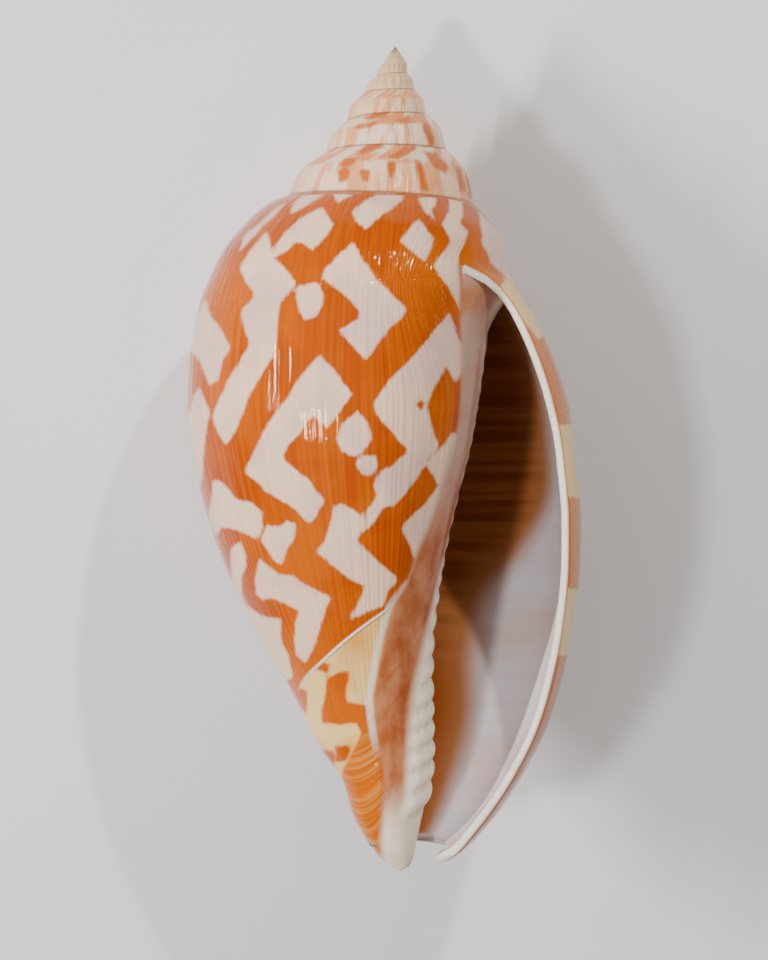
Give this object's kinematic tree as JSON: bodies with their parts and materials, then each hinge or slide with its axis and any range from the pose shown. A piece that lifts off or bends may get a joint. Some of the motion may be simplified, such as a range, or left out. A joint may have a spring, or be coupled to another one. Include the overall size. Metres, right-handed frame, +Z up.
{
  "type": "bat volute shell",
  "caption": "Glossy orange and white bat volute sea shell, lying on its back with the toothed opening and pale lip up.",
  "frame": {"origin": "middle of the small flat spot on the shell's back that it rests on", "axes": "+Y along the shell towards the pointed apex, +Z up out of the opening, +X towards the outer lip"},
  "size_m": [0.0429, 0.0886, 0.0378],
  "materials": {
    "shell": "glossy, porcelain-like, with an orange and white pattern outside and a pale, dark-throated inside"
  },
  "bodies": {
    "root": {"shell": "shell"}
  },
  "joints": []
}
